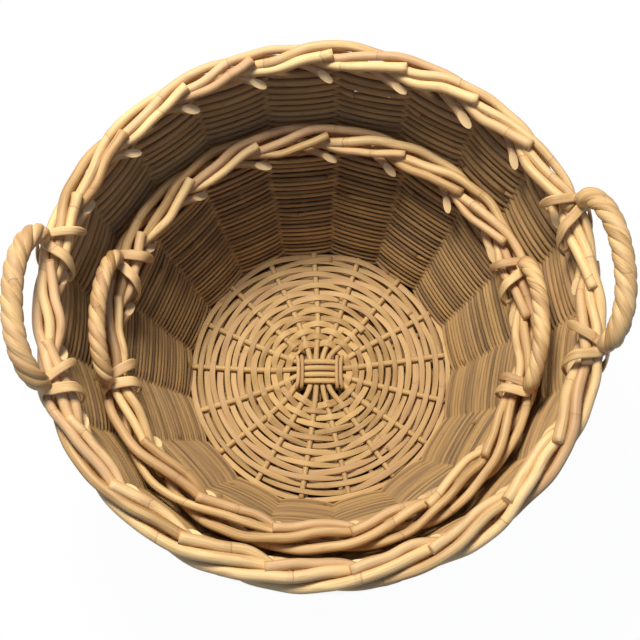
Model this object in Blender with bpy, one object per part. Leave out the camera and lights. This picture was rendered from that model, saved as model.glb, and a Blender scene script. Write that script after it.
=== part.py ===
"""Nested pair of round willow baskets with interlaced borders and rope-twisted handles.

Units are metres and +Z is up. The origin is at the centre of the outer basket's underside.
Each basket is built in its own frame, with its underside at z = 0, under an empty that
stands on the axis along which the inner basket lifts out.
"""
from math import atan2, copysign, cos, pi, radians, sin, tau

import bmesh
import bpy
from mathutils import Matrix, Vector

# Outer basket
OUTER_RIM_DIAMETER = 0.560
OUTER_HEIGHT = 0.322
OUTER_FOOT_RADIUS = 0.210
OUTER_STICKS_ACROSS = 5
OUTER_FAN_COUNT_BEFORE_ODD_STICK = 1
OUTER_FIRST_STAKE = radians(8.6)
OUTER_HANDLE_TURN = radians(4.0)
OUTER_HANDLE_REACH_SHARE = 0.92
OUTER_HANDLE_HEIGHT = 0.039
OUTER_HANDLE_LEAN = 0.013
OUTER_ROPE_DIAMETER = 0.021

# Inner basket, whose rim is as wide as the outer basket leaves room for
NEST_GAP = 0.0072
INNER_HEIGHT = 0.206
INNER_FOOT_RADIUS = 0.157
INNER_STICKS_ACROSS = 4
INNER_FAN_COUNT_BEFORE_ODD_STICK = 2
INNER_FIRST_STAKE = radians(10.6)
INNER_HANDLE_TURN = radians(-1.0)
INNER_HANDLE_REACH_SHARE = 0.82
INNER_HANDLE_HEIGHT = 0.034
INNER_HANDLE_LEAN = 0.001
INNER_ROPE_DIAMETER = 0.018

# Rods, shared by both baskets
CLEARANCE = 0.0003
ROD_DIAMETER = 0.0086
STICK_DIAMETER = 0.0067
LASHING_DIAMETER = 0.004
LASHING_SPACING = 0.007
LASHING_EASE = 0.0006

# Woven sides and bases
WEAVER_COVER = 0.0027
WEAVE_RELIEF_SHARE = 0.8
WEAVE_BAND_HEIGHT = 0.036
BAY_THICKNESS = 0.008
STAKE_START = 0.004
BASE_THICKNESS = 0.014
BASE_LIFT = 0.002
SPLIT_WALL = 0.003
FAN_SHARE = 2.7
ODD_START_SHARE = 2.1

# Border: each stake's way round the rim from the top of its leg, as turns in stake
# pitches and as offsets outwards and upwards in rod diameters from the border's middle
BORDER_ROD_SHARES = (
    (0.0, 0.465, -1.825),
    (0.22, -0.105, -0.453),
    (0.67, -0.56, 0.64),
    (1.17, 0.42, 0.98),
    (1.67, 1.385, 0.535),
    (2.17, 1.535, -0.28),
    (2.67, 0.64, -1.0),
    (3.17, -1.06, -1.26),
    (3.36, -1.615, -1.28),
)
# The short partner rod that lies inside it and ends in a blunt butt on top of the rim
PARTNER_ROD_SHARES = (
    (0.12, 0.10, -0.85),
    (0.58, -1.64, 0.08),
    (1.0, -1.065, 0.70),
    (1.40, -0.245, 1.11),
)
PARTNER_TIP_SHARE = 0.5
BORDER_TOP_SHARE = 1.62
BORDER_BOTTOM_SHARE = 1.79
BORDER_SIDE_SHARE = 2.15

# Handles
ROPE_STRANDS = 4
ROPE_VALLEY_SHARE = 0.78
ROPE_LAY_SHARE = 3.1
ROPE_STEPS_PER_LAY = 8
BOW_SQUARENESS = 2.6
BOW_SAMPLES = 240
FOOT_OFFSET_SHARE = 0.6
# Loop of a lashing round the border, in half widths and half heights from its middle
LASHING_LOOP_SHARES = (
    (1.0, 0.2), (0.92, 0.65), (0.6, 0.98), (-0.45, 1.0), (-0.86, 0.76),
    (-1.0, 0.3), (-1.0, -0.66), (-0.8, -1.0), (0.35, -1.0), (0.92, -0.55),
)

# Facets and cutters
ROD_RESOLUTION = 1
STICK_RESOLUTION = 0
CREASE_ANGLE = radians(50.0)
CUTTER_OVERRUN = 0.02

# Finishes: colour and roughness
STRAW = ((0.66, 0.44, 0.19, 1.0), 0.55)
STRAW_DARK = ((0.52, 0.33, 0.14, 1.0), 0.6)
WEAVE_BROWN = ((0.38, 0.25, 0.12, 1.0), 0.75)
STICK_TAN = ((0.55, 0.38, 0.18, 1.0), 0.65)


class Basket:
    """Sizes of one basket, all worked out from its driving sizes."""

    def __init__(self, name, rim_diameter, height, foot_radius, sticks_across, fans_before_odd,
                 first_stake, handle_turn, handle_reach_share, handle_height, handle_lean,
                 rope_diameter):
        self.name = name
        self.foot_radius = foot_radius
        self.sticks_across = sticks_across
        self.fans_before_odd = fans_before_odd
        self.stakes = 4 * sticks_across + 1
        self.pitch = tau / self.stakes
        self.first_stake = first_stake
        self.border_radius = rim_diameter / 2 - BORDER_SIDE_SHARE * ROD_DIAMETER
        self.border_z = height - BORDER_TOP_SHARE * ROD_DIAMETER
        leg_top = BORDER_ROD_SHARES[0]
        self.leg_top_radius = self.border_radius + leg_top[1] * ROD_DIAMETER
        self.side_height = self.border_z + leg_top[2] * ROD_DIAMETER
        self.flare = (self.leg_top_radius - foot_radius) / self.side_height
        self.weave_bands = max(1, round(self.side_height / WEAVE_BAND_HEIGHT))
        self.band_height = self.side_height / self.weave_bands
        self.handle_turn = handle_turn
        self.handle_reach = handle_reach_share * self.pitch
        self.handle_height = handle_height
        self.handle_lean = handle_lean
        self.rope_diameter = rope_diameter
        self.floor_z = BASE_LIFT + BASE_THICKNESS
        self.stick_z = BASE_LIFT + BASE_THICKNESS / 2

    def leg_radius(self, z):
        """Radius of the stakes' centre lines at a height."""
        return self.foot_radius + self.flare * z

    def stake_angle(self, index):
        return self.first_stake + index * self.pitch


SIDE_HALF_AT_STAKE = ROD_DIAMETER / 2 + CLEARANCE + WEAVER_COVER
SIDE_HALF_AT_BAY = BAY_THICKNESS / 2
STICK_SPACING = STICK_DIAMETER + 4 * CLEARANCE

OUTER = Basket('outer', OUTER_RIM_DIAMETER, OUTER_HEIGHT, OUTER_FOOT_RADIUS, OUTER_STICKS_ACROSS,
               OUTER_FAN_COUNT_BEFORE_ODD_STICK, OUTER_FIRST_STAKE, OUTER_HANDLE_TURN,
               OUTER_HANDLE_REACH_SHARE, OUTER_HANDLE_HEIGHT, OUTER_HANDLE_LEAN,
               OUTER_ROPE_DIAMETER)
INNER_REST_Z = OUTER.floor_z + CLEARANCE


def nested_rim_diameter():
    """Widest rim that stands inside the outer side and lifts out through the outer border."""
    border_z = INNER_REST_Z + INNER_HEIGHT - BORDER_TOP_SHARE * ROD_DIAMETER
    at_side = OUTER.leg_radius(border_z) - SIDE_HALF_AT_STAKE
    at_border = OUTER.border_radius - BORDER_SIDE_SHARE * ROD_DIAMETER
    return 2 * (min(at_side, at_border) - NEST_GAP)


INNER = Basket('inner', nested_rim_diameter(), INNER_HEIGHT, INNER_FOOT_RADIUS,
               INNER_STICKS_ACROSS, INNER_FAN_COUNT_BEFORE_ODD_STICK, INNER_FIRST_STAKE,
               INNER_HANDLE_TURN, INNER_HANDLE_REACH_SHARE, INNER_HANDLE_HEIGHT,
               INNER_HANDLE_LEAN, INNER_ROPE_DIAMETER)


# Scene helpers
def clear_scene():
    for item in list(bpy.data.objects):
        bpy.data.objects.remove(item)


def make_collection(name, parent):
    group = bpy.data.collections.new(name)
    parent.children.link(group)
    return group


def make_material(name, colour, roughness):
    made = bpy.data.materials.new(name)
    made.use_nodes = True
    shader = made.node_tree.nodes['Principled BSDF']
    shader.inputs['Base Color'].default_value = colour
    shader.inputs['Roughness'].default_value = roughness
    shader.inputs['Metallic'].default_value = 0.0
    return made


def add_piece(name, mesh, group, parent, turn=0.0):
    """Put a mesh in the scene as one named piece, turned about the basket's axis."""
    piece = bpy.data.objects.new(name, mesh)
    piece.rotation_euler.z = turn
    piece.parent = parent
    group.objects.link(piece)
    return piece


def add_cutter(name, mesh, group, parent, turn=0.0):
    cutter = add_piece(name, mesh, group, parent, turn)
    cutter.hide_render = True
    cutter.display_type = 'WIRE'
    return cutter


def cut(piece, cutters):
    boolean = piece.modifiers.new('cut', 'BOOLEAN')
    boolean.operation = 'DIFFERENCE'
    boolean.solver = 'EXACT'
    boolean.operand_type = 'COLLECTION'
    boolean.collection = cutters


def evaluated_mesh(source):
    """Mesh of an object as its modifiers leave it; the object itself is removed."""
    depsgraph = bpy.context.evaluated_depsgraph_get()
    mesh = bpy.data.meshes.new_from_object(source.evaluated_get(depsgraph))
    bpy.data.objects.remove(source)
    return mesh


def finish_mesh(mesh, finish):
    mesh.materials.clear()
    mesh.materials.append(finish)
    mesh.shade_smooth()
    mesh.set_sharp_from_angle(angle=CREASE_ANGLE)
    return mesh


def combined(meshes, operation):
    """Boolean union of meshes, or the first less the others."""
    root = bpy.context.scene.collection
    body = bpy.data.objects.new('body', meshes[0])
    root.objects.link(body)
    group = make_collection('extras', root)
    extras = [bpy.data.objects.new('extra', mesh) for mesh in meshes[1:]]
    for extra in extras:
        group.objects.link(extra)
    boolean = body.modifiers.new('join', 'BOOLEAN')
    boolean.operation = operation
    boolean.solver = 'EXACT'
    boolean.operand_type = 'COLLECTION'
    boolean.collection = group
    mesh = evaluated_mesh(body)
    for extra in extras:
        bpy.data.objects.remove(extra)
    bpy.data.collections.remove(group)
    return mesh


# Shapes
def tube_mesh(name, points, diameter, resolution, closed=False, tip_share=1.0):
    """Rod along straight runs between points, from its tip on, with its end caps welded on."""
    curve = bpy.data.curves.new(name, 'CURVE')
    curve.dimensions = '3D'
    curve.bevel_depth = diameter / 2
    curve.bevel_resolution = resolution
    curve.use_fill_caps = True
    spline = curve.splines.new('POLY')
    spline.points.add(len(points) - 1)
    for point, place in zip(spline.points, points):
        point.co = (*place, 1.0)
    spline.points[0].radius = tip_share
    spline.use_cyclic_u = closed
    guide = bpy.data.objects.new(name, curve)
    bpy.context.scene.collection.objects.link(guide)
    mesh = evaluated_mesh(guide)
    bpy.data.curves.remove(curve)
    shape = bmesh.new()
    shape.from_mesh(mesh)
    bmesh.ops.remove_doubles(shape, verts=shape.verts, dist=CLEARANCE / 10)
    shape.to_mesh(mesh)
    shape.free()
    return mesh


def loft_mesh(name, rings):
    """Closed solid through a row of rings with the same number of corners."""
    shape = bmesh.new()
    loops = [[shape.verts.new(place) for place in ring] for ring in rings]
    count = len(rings[0])
    for lower, upper in zip(loops, loops[1:]):
        for index in range(count):
            after = (index + 1) % count
            shape.faces.new((lower[index], lower[after], upper[after], upper[index]))
    shape.faces.new(reversed(loops[0]))
    shape.faces.new(loops[-1])
    bmesh.ops.recalc_face_normals(shape, faces=shape.faces)
    mesh = bpy.data.meshes.new(name)
    shape.to_mesh(mesh)
    shape.free()
    return mesh


def box_mesh(name, size, centre):
    shape = bmesh.new()
    place = Matrix.Translation(centre) @ Matrix.Diagonal((*size, 1.0))
    bmesh.ops.create_cube(shape, size=1.0, matrix=place)
    mesh = bpy.data.meshes.new(name)
    shape.to_mesh(mesh)
    shape.free()
    return mesh


def scalloped_cone(name, basket, bottom, top, at_stake, at_bay):
    """Flared drum whose edge swells at each stake and draws in at each bay between two."""
    shape = bmesh.new()
    turn = Matrix.Rotation(basket.first_stake - pi / 2, 4, 'Z')
    bmesh.ops.create_cone(shape, cap_ends=True, segments=2 * basket.stakes, radius1=1.0,
                          radius2=1.0, depth=1.0, matrix=turn)
    for corner in shape.verts:
        column = round((atan2(corner.co.y, corner.co.x) - basket.first_stake) / (basket.pitch / 2))
        z = top if corner.co.z > 0 else bottom
        radius = basket.leg_radius(z) + (at_bay if column % 2 else at_stake)
        heading = basket.stake_angle(column / 2)
        corner.co = (radius * cos(heading), radius * sin(heading), z)
    mesh = bpy.data.meshes.new(name)
    shape.to_mesh(mesh)
    shape.free()
    return mesh


def woven_drum(name, basket, face):
    """Flared drum with the side's outer face (1) or inner face (-1), longer than the side.

    One band winds up round it, from two turns below the side to two turns above. At a stake
    it swells where it passes on this face and draws in where it passes on the other, and an
    odd number of stakes swaps the two at each turn.
    """
    columns = 2 * basket.stakes
    drawn_in = SIDE_HALF_AT_STAKE - WEAVER_COVER * WEAVE_RELIEF_SHARE
    shape = bmesh.new()
    band = []
    for step in range((basket.weave_bands + 4) * columns + 1):
        z = basket.band_height * (step / columns - 2)
        if step % 2:
            reach = SIDE_HALF_AT_BAY
        elif (step // 2) % 2 == (face < 0):
            reach = SIDE_HALF_AT_STAKE
        else:
            reach = drawn_in
        radius = basket.leg_radius(z) + face * reach
        heading = basket.stake_angle(step / 2)
        band.append(shape.verts.new((radius * cos(heading), radius * sin(heading), z)))
    for step in range(len(band) - columns - 1):
        shape.faces.new((band[step], band[step + 1], band[step + 1 + columns],
                         band[step + columns]))
    for rim in (band[:columns + 1], band[-columns - 1:]):
        middle = shape.verts.new((0.0, 0.0, rim[columns // 2].co.z))
        for before, after in zip(rim, rim[1:] + rim[:1]):
            shape.faces.new((before, after, middle))
    bmesh.ops.recalc_face_normals(shape, faces=shape.faces)
    mesh = bpy.data.meshes.new(name)
    shape.to_mesh(mesh)
    shape.free()
    return mesh


# Stakes, which rise through the side and turn down into the border
def border_points(basket, shares):
    """Points of a border rod whose stake stands at angle zero; it runs clockwise from above."""
    points = []
    for turns, outward, upward in shares:
        radius = basket.border_radius + outward * ROD_DIAMETER
        angle = -turns * basket.pitch
        height = basket.border_z + upward * ROD_DIAMETER
        points.append((radius * cos(angle), radius * sin(angle), height))
    return points


def stake_rod(basket, start, shares, diameter):
    """Rod that stands in the side from a height and goes on through the border points."""
    foot = (basket.leg_radius(start), 0.0, start)
    return tube_mesh('stake', [foot] + border_points(basket, shares), diameter, ROD_RESOLUTION)


def stake_mesh(basket, finish):
    stake = stake_rod(basket, STAKE_START, BORDER_ROD_SHARES, ROD_DIAMETER)
    partner = tube_mesh('partner', border_points(basket, PARTNER_ROD_SHARES), ROD_DIAMETER,
                        ROD_RESOLUTION, tip_share=PARTNER_TIP_SHARE)
    return finish_mesh(combined([stake, partner], 'UNION'), finish)


def add_stakes(basket, group, parent, finish):
    mesh = stake_mesh(basket, finish)
    for index in range(basket.stakes):
        name = f'{basket.name}_stake_{index + 1:02d}'
        add_piece(name, mesh, group, parent, basket.stake_angle(index))


# Side weave
def add_side(basket, group, cutters, parent, finish):
    mesh = woven_drum('side', basket, 1)
    side = add_piece(f'{basket.name}_side_weave', finish_mesh(mesh, finish), group, parent)
    add_cutter(f'{basket.name}_side_hollow', woven_drum('hollow', basket, -1), cutters, parent)
    width = 4 * basket.leg_top_radius
    depth = 4 * basket.band_height
    for end, middle in (('top', basket.side_height + depth / 2), ('bottom', -depth / 2)):
        trim = box_mesh('trim', (width, width, depth), (0.0, 0.0, middle))
        add_cutter(f'{basket.name}_side_{end}_trim', trim, cutters, parent)
    channel = stake_rod(basket, STAKE_START - CLEARANCE, BORDER_ROD_SHARES[:3],
                        ROD_DIAMETER + 2 * CLEARANCE)
    for index in range(basket.stakes):
        add_cutter(f'{basket.name}_stake_channel_{index + 1:02d}', channel, cutters, parent,
                   basket.stake_angle(index))
    add_lashing_notches(basket, cutters, parent)
    return side


def add_lashing_notches(basket, cutters, parent):
    """Gaps in the top of the weave where the handles' lashings pass under the border."""
    depth = (LASHING_DIAMETER + LASHING_EASE + CLEARANCE
             + (BORDER_BOTTOM_SHARE + BORDER_ROD_SHARES[0][2]) * ROD_DIAMETER)
    size = (4 * SIDE_HALF_AT_STAKE, LASHING_SPACING + LASHING_DIAMETER + 4 * CLEARANCE,
            depth + CUTTER_OVERRUN)
    centre = (basket.leg_top_radius, 0.0, basket.side_height - depth + size[2] / 2)
    mesh = box_mesh('notch', size, centre)
    for side, turn in handle_sides(basket):
        for end in (-1, 1):
            add_cutter(f'{basket.name}_notch_{side}_{end}', mesh, cutters, parent,
                       turn + end * basket.handle_reach)


# Base: split sticks with through sticks in their slit, one odd stick and the weave round them
def stick_angles(basket):
    """Directions of the base sticks' ends: right, back, left and front fans, and the odd stick."""
    across = basket.sticks_across
    beside = (ROD_DIAMETER + STICK_DIAMETER) / 2 / basket.foot_radius
    first = -((across + 1) // 2)
    angles = [basket.stake_angle(first + index) - beside for index in range(basket.stakes)]
    odd = angles.pop(basket.fans_before_odd * across)
    fans = [angles[fan * across:(fan + 1) * across] for fan in range(4)]
    return *fans, odd


def cross_half(basket):
    """Half the width of the cross where the sticks pass through each other."""
    return basket.sticks_across * STICK_SPACING / 2 + SPLIT_WALL


def stick_end_radius(basket):
    underside = basket.stick_z - STICK_DIAMETER / 2
    return basket.leg_radius(underside) - SIDE_HALF_AT_STAKE - 2 * CLEARANCE


def fan_points(basket, angle, overrun):
    """Points of a stick's end, from where its fan straightens to the base's edge."""
    heading = Vector((cos(angle), sin(angle), 0.0))
    level = Vector((0.0, 0.0, basket.stick_z))
    bend = FAN_SHARE * cross_half(basket)
    end = stick_end_radius(basket) + overrun
    return [level + heading * bend, level + heading * end]


def lane(basket, index):
    """Sideways place of one stick in the cross."""
    return (index - (basket.sticks_across - 1) / 2) * STICK_SPACING


def through_points(basket, index, overrun=0.0):
    _, back, _, front, _ = stick_angles(basket)
    x = lane(basket, index)
    half = cross_half(basket)
    behind = fan_points(basket, back[-1 - index], overrun)
    ahead = fan_points(basket, front[index], overrun)
    middle = [Vector((x, half * sign, basket.stick_z)) for sign in (-1, 1)]
    return ahead[::-1] + middle + behind


def split_points(basket, index, sign, overrun=0.0):
    """Points of one end of a split stick, from inside the cross to the base's edge."""
    right, _, left, _, _ = stick_angles(basket)
    angle = right[index] if sign > 0 else left[-1 - index]
    half = cross_half(basket)
    y = lane(basket, index)
    middle = [Vector((sign * (half - SPLIT_WALL / 2), y, basket.stick_z)),
              Vector((sign * (half + SPLIT_WALL), y, basket.stick_z))]
    return middle + fan_points(basket, angle, overrun)


def odd_points(basket, overrun=0.0, ease=0.0):
    angle = stick_angles(basket)[-1]
    heading = Vector((cos(angle), sin(angle), 0.0))
    level = Vector((0.0, 0.0, basket.stick_z))
    start = ODD_START_SHARE * cross_half(basket) - ease
    end = stick_end_radius(basket) + overrun
    return [level + heading * start, level + heading * end]


def cross_block(basket, growth):
    half = cross_half(basket) + growth
    width = basket.sticks_across * STICK_SPACING + 2 * growth
    height = 2 * STICK_DIAMETER + 2 * CLEARANCE + 2 * growth
    return box_mesh('cross', (2 * half, width, height), (0.0, 0.0, basket.stick_z))


def split_mesh(basket, finish):
    slit_size = (basket.sticks_across * STICK_SPACING + 2 * CLEARANCE, 4 * cross_half(basket),
                 STICK_DIAMETER + 2 * CLEARANCE)
    slit = box_mesh('slit', slit_size, (0.0, 0.0, basket.stick_z))
    block = combined([cross_block(basket, 0.0), slit], 'DIFFERENCE')
    ends = [tube_mesh('split', split_points(basket, index, sign), STICK_DIAMETER, STICK_RESOLUTION)
            for index in range(basket.sticks_across) for sign in (-1, 1)]
    return finish_mesh(combined([block] + ends, 'UNION'), finish)


def add_base(basket, group, cutters, parent, stick_finish, weave_finish):
    across = basket.sticks_across
    add_piece(f'{basket.name}_split_sticks', split_mesh(basket, stick_finish), group, parent)
    wide = STICK_DIAMETER + 2 * CLEARANCE
    routes = [(f'{basket.name}_through_stick_{index + 1}', through_points(basket, index),
               through_points(basket, index, CUTTER_OVERRUN)) for index in range(across)]
    routes.append((f'{basket.name}_odd_stick', odd_points(basket),
                   odd_points(basket, CUTTER_OVERRUN, CLEARANCE)))
    for name, points, slot_points in routes:
        mesh = finish_mesh(tube_mesh(name, points, STICK_DIAMETER, STICK_RESOLUTION), stick_finish)
        add_piece(name, mesh, group, parent)
        slot = tube_mesh(name, slot_points, wide, STICK_RESOLUTION)
        add_cutter(f'{name}_slot', slot, cutters, parent)
    for index in range(across):
        for side, sign in (('left', -1), ('right', 1)):
            slot_points = split_points(basket, index, sign, CUTTER_OVERRUN)
            slot = tube_mesh('slot', slot_points, wide, STICK_RESOLUTION)
            add_cutter(f'{basket.name}_split_slot_{side}_{index + 1}', slot, cutters, parent)
    add_cutter(f'{basket.name}_cross_space', cross_block(basket, CLEARANCE), cutters, parent)
    disc = scalloped_cone('base', basket, BASE_LIFT, basket.floor_z,
                          -SIDE_HALF_AT_STAKE - CLEARANCE, -SIDE_HALF_AT_BAY - CLEARANCE)
    return add_piece(f'{basket.name}_base_weave', finish_mesh(disc, weave_finish), group, parent)


# Handles
def handle_sides(basket):
    return (('right', basket.handle_turn), ('left', basket.handle_turn + pi))


def rounded_share(value):
    """Place on a squared-off arch for the cosine or sine of its angle."""
    return copysign(abs(value) ** (2 / BOW_SQUARENESS), value)


def bow_points(basket, lay):
    """Even steps along the arch of the handle that stands at angle zero, and its length."""
    foot_radius = basket.border_radius + FOOT_OFFSET_SHARE * ROD_DIAMETER
    foot_z = basket.border_z + BORDER_TOP_SHARE * ROD_DIAMETER + CLEARANCE
    fine = []
    for sample in range(BOW_SAMPLES + 1):
        angle = pi * sample / BOW_SAMPLES
        rise = rounded_share(max(sin(angle), 0.0))
        radius = foot_radius + basket.handle_lean * rise
        heading = -basket.handle_reach * rounded_share(cos(angle))
        fine.append(Vector((radius * cos(heading), radius * sin(heading),
                            foot_z + basket.handle_height * rise)))
    lengths = [0.0]
    for before, after in zip(fine, fine[1:]):
        lengths.append(lengths[-1] + (after - before).length)
    steps = round(ROPE_STEPS_PER_LAY * lengths[-1] / lay)
    points = []
    place = 0
    for step in range(steps + 1):
        target = lengths[-1] * step / steps
        while place < BOW_SAMPLES - 1 and lengths[place + 1] < target:
            place += 1
        share = (target - lengths[place]) / (lengths[place + 1] - lengths[place])
        points.append(fine[place].lerp(fine[place + 1], share))
    return points, lengths[-1]


def rope_mesh(basket):
    """Rope of twisted rods: lobed rings turned in step with their way along the arch."""
    lay = ROPE_LAY_SHARE * basket.rope_diameter
    points, length = bow_points(basket, lay)
    last = len(points) - 1
    corners = 2 * ROPE_STRANDS
    rings = []
    for step, centre in enumerate(points):
        if step == 0:
            along = Vector((0.0, 0.0, 1.0))
        elif step == last:
            along = Vector((0.0, 0.0, -1.0))
        else:
            along = (points[step + 1] - points[step - 1]).normalized()
        outward = Vector((centre.x, centre.y, 0.0))
        outward = (outward - along * outward.dot(along)).normalized()
        across = along.cross(outward)
        twist = -tau * (length * step / last) / lay
        ring = []
        for corner in range(corners):
            angle = twist + tau * corner / corners
            radius = basket.rope_diameter / 2 * (ROPE_VALLEY_SHARE if corner % 2 else 1.0)
            ring.append(centre + (outward * cos(angle) + across * sin(angle)) * radius)
        rings.append(ring)
    return loft_mesh('rope', rings)


def lashing_points(basket, offset):
    """Loop round the border, at a sideways offset from the handle's foot."""
    half_width = BORDER_SIDE_SHARE * ROD_DIAMETER + LASHING_EASE + LASHING_DIAMETER / 2
    half_height = ((BORDER_TOP_SHARE + BORDER_BOTTOM_SHARE) / 2 * ROD_DIAMETER
                   + LASHING_EASE + LASHING_DIAMETER / 2)
    centre_z = basket.border_z + (BORDER_TOP_SHARE - BORDER_BOTTOM_SHARE) / 2 * ROD_DIAMETER
    return [Vector((basket.border_radius + half_width * outward, offset,
                    centre_z + half_height * upward))
            for outward, upward in LASHING_LOOP_SHARES]


def handle_mesh(basket, finish):
    pieces = [rope_mesh(basket)]
    for end in (-1, 1):
        turn = Matrix.Rotation(end * basket.handle_reach, 4, 'Z')
        for side in (-1, 1):
            loop = [turn @ point for point in lashing_points(basket, side * LASHING_SPACING / 2)]
            pieces.append(tube_mesh('lashing', loop, LASHING_DIAMETER, STICK_RESOLUTION, closed=True))
    return finish_mesh(combined(pieces, 'UNION'), finish)


def add_handles(basket, group, parent, finish):
    mesh = handle_mesh(basket, finish)
    for side, turn in handle_sides(basket):
        add_piece(f'{basket.name}_handle_{side}', mesh, group, parent, turn)


# Assembly
def build_basket(basket, rest_z, group, cutters, finishes):
    parent = bpy.data.objects.new(f'{basket.name}_basket', None)
    parent.location.z = rest_z
    group.objects.link(parent)
    side_cutters = make_collection(f'{basket.name}_side_cutters', cutters)
    base_cutters = make_collection(f'{basket.name}_base_cutters', cutters)
    add_stakes(basket, group, parent, finishes['straw'])
    side = add_side(basket, group, side_cutters, parent, finishes['weave'])
    base = add_base(basket, group, base_cutters, parent, finishes['stick'], finishes['weave'])
    add_handles(basket, group, parent, finishes['rope'])
    return (side, side_cutters), (base, base_cutters)


def main():
    clear_scene()
    root = bpy.context.scene.collection
    group = make_collection('nested_willow_baskets', root)
    cutters = make_collection('cutters', root)
    finishes = {
        'straw': make_material('peeled_willow', *STRAW),
        'rope': make_material('twisted_willow', *STRAW_DARK),
        'weave': make_material('woven_willow', *WEAVE_BROWN),
        'stick': make_material('base_willow', *STICK_TAN),
    }
    woven = build_basket(OUTER, 0.0, group, cutters, finishes)
    woven += build_basket(INNER, INNER_REST_Z, group, cutters, finishes)
    for piece, its_cutters in woven:
        cut(piece, its_cutters)
    bpy.context.view_layer.update()


main()
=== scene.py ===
from math import atan2, cos, floor, pi, radians, sin, tau
from typing import NamedTuple

import bpy
import numpy as np
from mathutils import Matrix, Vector


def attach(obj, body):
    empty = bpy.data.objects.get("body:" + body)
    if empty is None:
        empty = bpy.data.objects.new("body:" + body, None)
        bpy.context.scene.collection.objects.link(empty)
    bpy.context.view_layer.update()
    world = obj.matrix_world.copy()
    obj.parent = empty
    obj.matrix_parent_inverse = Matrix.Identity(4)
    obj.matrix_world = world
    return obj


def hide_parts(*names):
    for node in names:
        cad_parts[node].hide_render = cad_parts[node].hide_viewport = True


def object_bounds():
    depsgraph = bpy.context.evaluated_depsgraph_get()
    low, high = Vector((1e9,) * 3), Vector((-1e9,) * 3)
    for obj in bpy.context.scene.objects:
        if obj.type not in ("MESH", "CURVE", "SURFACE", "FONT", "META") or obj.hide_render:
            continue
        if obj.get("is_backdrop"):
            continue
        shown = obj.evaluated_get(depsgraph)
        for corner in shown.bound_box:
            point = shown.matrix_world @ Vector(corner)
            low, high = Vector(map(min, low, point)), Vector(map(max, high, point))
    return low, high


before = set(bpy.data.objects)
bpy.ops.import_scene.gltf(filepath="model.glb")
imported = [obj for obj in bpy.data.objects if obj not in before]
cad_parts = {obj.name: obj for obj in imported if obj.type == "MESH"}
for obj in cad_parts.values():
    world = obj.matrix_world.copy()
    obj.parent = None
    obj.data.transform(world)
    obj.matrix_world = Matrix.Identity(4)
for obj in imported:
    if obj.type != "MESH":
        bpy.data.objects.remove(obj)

bl_info = {
    'name': 'Nested Willow Baskets',
    'version': (1, 0, 0),
    'blender': (4, 5, 0),
    'location': '3D View > Sidebar > Willow',
    'description': 'Weaves two round willow baskets, one inside the other, rod by rod',
    'category': 'Object',
}

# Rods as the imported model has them
CLEARANCE = 0.0003
ROD_DIAMETER = 0.0086
STICK_DIAMETER = 0.0067
SIDE_HALF_AT_STAKE = 0.0073
SPLIT_WALL = 0.003
STAKE_START = 0.004
FAN_SHARE = 2.7
ODD_START_SHARE = 2.1

# Border: each stake's way round the rim from the top of its leg, as turns in stake
# pitches and as offsets outwards and upwards in rod diameters from the border's middle
BORDER_ROD_SHARES = (
    (0.0, 0.465, -1.825),
    (0.22, -0.105, -0.453),
    (0.67, -0.42, 0.64),
    (1.17, 0.52, 0.98),
    (1.67, 1.385, 0.535),
    (2.17, 1.535, -0.28),
    (2.67, 0.86, -1.05),
    (3.17, -1.0, -1.38),
    (3.36, -1.25, -1.55),
)
PARTNER_ROD_SHARES = (
    (0.12, 0.10, -0.85),
    (0.58, -1.42, 0.12),
    (1.0, -1.065, 0.70),
    (1.40, -0.245, 1.11),
)
BORDER_TOP_SHARE = 1.62
BORDER_BOTTOM_SHARE = 1.79
BORDER_SIDE_SHARE = 2.15

# Handles
ROPE_STRANDS = 4
STRAND_PRESS_SHARE = 1.4
ROPE_LAY_SHARE = 3.1
BOW_SQUARENESS = 2.6
BOW_SAMPLES = 240
FOOT_OFFSET_SHARE = 0.6
LASHING_EASE = 0.0006
WRAP_HALF_THICKNESS = 0.0016
# Way of a rope's strand round the border, in half widths and half heights from its middle
OUTSIDE_SHARES = (
    (0.95, 0.75), (1.06, 0.1), (0.92, -0.7), (0.35, -1.05), (-0.7, -1.05),
)
INSIDE_SHARES = (
    (0.35, 1.14), (-0.3, 1.12), (-0.82, 0.98), (-1.05, 0.4), (-1.06, -0.4), (-0.75, -1.0),
)

# Rods as they look: thinner in the side, pressed together in the border, cut slantwise
LEG_DIAMETER = 0.0066
LEG_SPANS = 4
BAR_DIAMETER = 0.0056
HANDLE_PINCH_SHARE = 0.34
PINCH_ENDS = (0.7, 1.3)
WRAP_TIGHT_SHARE = 0.7
WRAP_HEIGHT_SHARE = 0.26
WRAP_FLATTENING = 0.02
WRAP_POINTING = 0.03
TIP_WIDTH_SHARE = 0.3
TIP_HEIGHT_SHARE = 0.7
BOW_TRIM = 3
TIP_SLANT = 2.0
TIP_TRIM_SHARE = 0.75
TIP_REACH_SHARE = 0.1
TIP_DIRECTION = (0.4, 0.92)
TIP_START_SHARE = 0.8
# Rods of the side: how sharply they turn between stakes, and how they flatten against a stake
WAVE_POWER = 0.7
WEAVER_SPREAD_SHARES = (0.94, 1.3)
WEAVER_END_LIFT = 0.002
WEAVER_END_FALL = 60
WEAVER_PRESS_SHARE = 0.96
FIRST_ROW_SHARE = 0.72
LAST_ROW_SHARE = 0.4
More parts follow.
